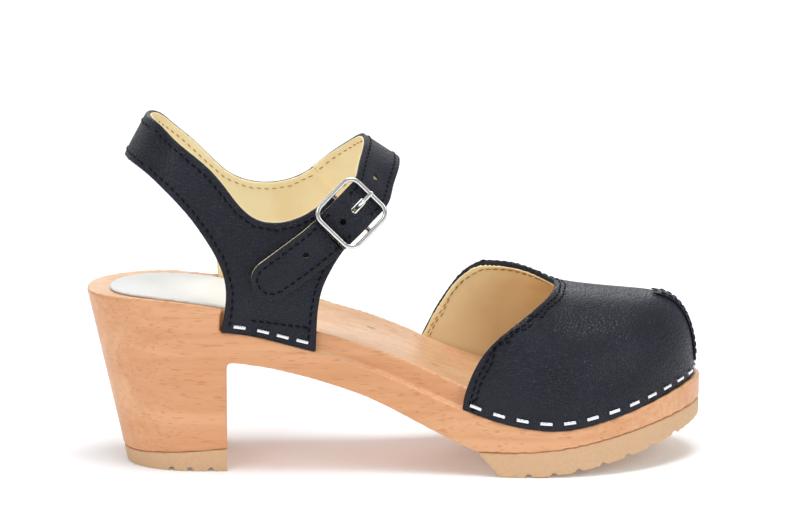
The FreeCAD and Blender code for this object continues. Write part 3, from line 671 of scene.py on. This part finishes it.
over_instep = [strap_start, (-20, 25.6, 108.6), (-13.2, 21.0, 114.2), (-8, 12.5, 119.2),
               (-5.8, 3, 121.2), (-5.8, -6, 120.0), (-7.2, -14.5, 117.2), (-8.9, -22, 113.6)]
strap_sides = [(0.60, 0, -0.80), (0.62, 0, -0.78), (0.70, 0.05, -0.71), (0.78, 0.03, -0.62),
               (0.83, 0, -0.55), (0.84, 0, -0.54), (0.82, -0.02, -0.57), (0.78, 0, -0.62)]
strap_line = [Vector(p) * mm for p in over_instep]
strap_line += [at_buckle(u, 0, -2.6) for u in (-10, -5, 0, 5, 10, 11.4)]
strap_sides = [Vector(p).normalized() for p in strap_sides] + [across] * 6


def eased(points, steps=8):
    """A smooth line through points."""
    out = []
    ends = [points[0] * 2 - points[1]] + points + [points[-1] * 2 - points[-2]]
    for a, b, c, d in zip(ends, ends[1:], ends[2:], ends[3:]):
        for k in range(steps):
            t = k / steps
            out.append(((b * 2) + (c - a) * t + (a * 2 - b * 5 + c * 4 - d) * t * t
                        + (b * 3 - a - c * 3 + d) * t ** 3) / 2)
    return out + [points[-1]]


def strap_row(line, sides, width, lift):
    """A row beside a strap's middle, a lift above it so that it snaps to that face."""
    middle, flat = eased(line), eased(sides)
    row = []
    for before, here, after, side in zip(middle[:1] + middle, middle, middle[1:] + middle[-1:],
                                         flat):
        normal = (after - before).cross(side).normalized()
        row.append(here + side * width * mm + normal * lift * mm)
    return row


strap_tree, strap_inside_tree = tree_of(strap), tree_of(strap_inside)
rim = 5.6
sewn("strap_seam", [strap_row(strap_line, strap_sides, w, 2.5) for w in (-rim, rim)],
     strap_tree, black_thread, "root", "leather")
far_part = slice(0, 6)
sewn("strap_seam_inside", [strap_row(strap_line[far_part], strap_sides[far_part], w, -2.5)
                           for w in (-rim, rim)], strap_inside_tree, tan_thread, "root",
     "ankle_lining", length=2.0, width=0.42)

tail_line = [at_buckle(12.4, 0, -2.9)] + [Vector(p) * mm for p in (
    (-30.2, -32.9, 90.4), (-35.6, -32.8, 86.1), (-42, -33.0, 81.4), (-48.6, -33.2, 76.8))]
tail_sides = [across] + [Vector(p).normalized() for p in (
    (0.66, 0, -0.75), (0.62, 0, -0.78), (0.60, 0, -0.80), (0.59, 0, -0.81))]
tail_tree = tree_of(tail)
upper_row = strap_row(tail_line, tail_sides, -rim, 2.0)
lower_row = strap_row(tail_line, tail_sides, rim, 2.0)
tip_run = (tail_line[-1] - tail_line[-2]).normalized()
tip_side = tail_sides[-1]
tip_lift = tip_run.cross(tip_side).normalized() * 2.0 * mm
tip_row = [tail_line[-1] + tip_lift + (tip_run * math.cos(a) + tip_side * math.sin(a)) * rim * mm
           for a in (math.radians(d) for d in range(-80, 81, 16))]
sewn("tail_seam", [upper_row + tip_row + lower_row[::-1]], tail_tree, black_thread,
     "strap_tail_body", "leather")


# ---- staples -----------------------------------------------------------------
# Bright zinc-plated wire staples pin the leather to the sole's edge all round the toe
# box and at both feet of the ankle wrap. Their corners are eased.

staple_steel = Finish("bright staple wire", Metallic=1.0, Roughness=0.25,
                      Base_Color=(0.82, 0.82, 0.84, 1))
staple_haze = staple_steel.noise(staple_steel.place(), 900, 2)
staple_steel.set(Roughness=0.18 + staple_haze * 0.2)
for label, node in (("toe_box_staples", "vamp_staples"),
                    ("outer_ankle_staples", "outer_quarter_staples"),
                    ("inner_ankle_staples", "inner_quarter_staples")):
    staples = softened(label, node, voxel=0.16 * mm, passes=2)
    finished(staples, staple_steel, "root", "staple_steel", node)


# ---- buckle ------------------------------------------------------------------
# A nickel-plated frame with bevelled bars and a centre bar, and a wire prong that
# swings on the centre bar and rests on the front bar.

nickel = Finish("polished nickel", Metallic=1.0, Roughness=0.16,
                Base_Color=(0.80, 0.79, 0.77, 1))
nickel_haze = nickel.noise(nickel.place(), 260, 3)
nickel.set(Roughness=0.12 + nickel_haze * 0.12)
nickel.relief(nickel.noise(nickel.place(), 1800, 2), 0.00002, 0.3)


def swept(name, path, flat, section, closed=False, scales=None):
    """A solid bar: a section carried along a path, its first axis held along flat."""
    corners, faces, count = [], [], len(section)
    last = len(path) - 1
    for i, here in enumerate(path):
        before = path[i - 1] if i or closed else here
        after = path[(i + 1) % len(path)] if i < last or closed else here
        run = (after - before).normalized()
        second = run.cross(flat).normalized()
        first = second.cross(run).normalized()
        size = scales[i] if scales else 1
        corners += [here + (first * a + second * b) * size * mm for a, b in section]
    for i in range(len(path) if closed else last):
        near, far = i * count, (i + 1) % len(path) * count
        for k in range(count):
            m = (k + 1) % count
            faces.append((near + k, near + m, far + m, far + k))
    if not closed:
        faces += [tuple(range(count))[::-1], tuple(last * count + k for k in range(count))]
    mesh = bpy.data.meshes.new(name)
    mesh.from_pydata(corners, [], faces)
    mesh.polygons.foreach_set("use_smooth", [len(p.vertices) == 4 for p in mesh.polygons])
    shape = bmesh.new()
    shape.from_mesh(mesh)
    bmesh.ops.recalc_face_normals(shape, faces=shape.faces)
    shape.to_mesh(mesh)
    shape.free()
    piece = bpy.data.objects.new(name, mesh)
    scene.collection.objects.link(piece)
    return piece


def rounded_section(width, height, power=0.7, count=20):
    """A soft-cornered section."""
    section = []
    for k in range(count):
        angle = 2 * math.pi * k / count
        c, s = math.cos(angle), math.sin(angle)
        section.append((math.copysign(abs(c) ** power, c) * width / 2,
                        math.copysign(abs(s) ** power, s) * height / 2))
    return section


bar_width, bar_height, outer_half, corner = 1.75, 1.7, 11.2, 5.2
middle_half, middle_corner = outer_half - bar_width / 2, corner - bar_width / 2
ring_path = []
for quarter in range(4):
    turn = quarter * math.pi / 2
    straight = middle_half - middle_corner
    corner_u = straight * (1 if quarter in (0, 3) else -1)
    corner_w = straight * (1 if quarter in (0, 1) else -1)
    for k in range(13):
        angle = turn + math.pi / 2 * k / 12
        ring_path.append(at_buckle(corner_u + middle_corner * math.cos(angle),
                                   corner_w + middle_corner * math.sin(angle), 0))
buckle = swept("buckle", ring_path, outward, rounded_section(bar_height, bar_width),
               closed=True)
finished(buckle, nickel, "buckle_body", "nickel", "buckle_frame")
bar_drop = -2.8
side_rail = middle_half
bar_path = [at_buckle(0, -side_rail, -0.4), at_buckle(0, -side_rail, bar_drop + 0.5),
            at_buckle(0, -side_rail + 0.5, bar_drop), at_buckle(0, side_rail - 0.5, bar_drop),
            at_buckle(0, side_rail, bar_drop + 0.5), at_buckle(0, side_rail, -0.4)]
finished(swept("buckle_centre_bar", bar_path, along, rounded_section(1.9, 1.9, 1)), nickel,
         "buckle_body", "nickel")

rest = 1.75
prong_path = eased([at_buckle(*p) for p in (
    (-1.3, 0, bar_drop + 1.2), (-3.4, 0, bar_drop + 2.6), (-5.8, 0, rest - 0.15),
    (-8.4, 0, rest), (-10.9, 0, rest))], 5)
prong_path += [at_buckle(-11.2, 0, rest), at_buckle(-11.38, 0, rest), at_buckle(-11.44, 0, rest)]
thin = [1.0] * (len(prong_path) - 8) + [0.97, 0.94, 0.91, 0.88, 0.85, 0.75, 0.5, 0.2]
prong = swept("prong", prong_path, across, rounded_section(1.7, 1.5, 0.9), scales=thin)
finished(prong, nickel, "prong_body", "nickel", "buckle_prong")
eye_path = [at_buckle(1.65 * math.cos(a), 0, bar_drop + 1.65 * math.sin(a))
            for a in (2 * math.pi * k / 24 for k in range(24))]
finished(swept("prong_eye", eye_path, across, rounded_section(1.6, 0.9), closed=True), nickel,
         "prong_body", "nickel")
